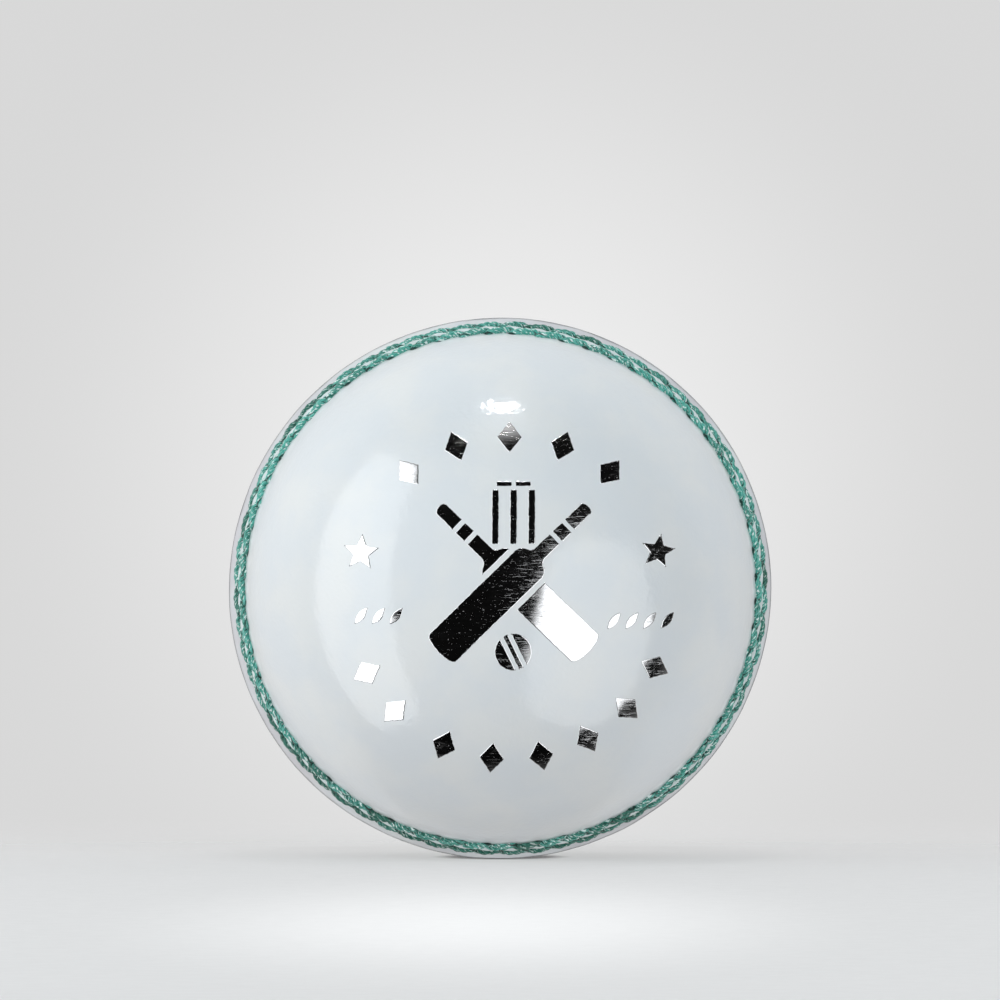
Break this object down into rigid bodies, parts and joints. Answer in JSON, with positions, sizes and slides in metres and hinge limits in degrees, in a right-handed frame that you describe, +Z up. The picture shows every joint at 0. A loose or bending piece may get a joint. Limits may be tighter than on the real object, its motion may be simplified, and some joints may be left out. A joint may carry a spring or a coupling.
{
  "type": "cricket ball",
  "caption": "White leather cricket ball with a raised green-stitched seam, built in layers: two leather cups, lining, wound twine, cork cups and a cork nugget.",
  "frame": {"origin": "the ball's centre", "axes": "+Y is the seam's axis and points out of the plain back face; the stamped face looks along -Y; the seam lies in the XZ plane and +Z is up, to the top of the stamp"},
  "size_m": [0.0726, 0.0716, 0.0726],
  "materials": {
    "cover_leather": "white leather under a hard, very glossy clear lacquer",
    "green_thread": "twisted green linen thread, lightly lacquered",
    "linen_thread": "waxed undyed linen thread",
    "lining_leather": "matt undyed split leather",
    "wool_twine": "matt wound worsted twine",
    "layer_cork": "matt pressed cork",
    "nugget_cork": "matt cork and rubber composition",
    "silver_foil": "hot-stamped silver foil, fine scratches"
  },
  "bodies": {
    "root": {"core_nugget": "nugget_cork", "inner_twine_winding": "wool_twine", "inner_cork_cup_front": "layer_cork", "inner_cork_cup_back": "layer_cork", "middle_twine_winding": "wool_twine", "outer_cork_cup_front": "layer_cork", "outer_cork_cup_back": "layer_cork", "outer_twine_winding": "wool_twine", "seam_lining_front": "lining_leather", "seam_lining_back": "lining_leather", "cover_front": "cover_leather", "cover_back": "cover_leather", "closing_stitches_front": "green_thread", "closing_stitches_back": "green_thread", "middle_row_stitches_front": "green_thread", "middle_row_stitches_back": "green_thread", "outer_row_stitches_front": "green_thread", "outer_row_stitches_back": "green_thread", "middle_row_bobbin_thread_front": "linen_thread", "middle_row_bobbin_thread_back": "linen_thread", "outer_row_bobbin_thread_front": "linen_thread", "outer_row_bobbin_thread_back": "linen_thread"}
  },
  "joints": []
}
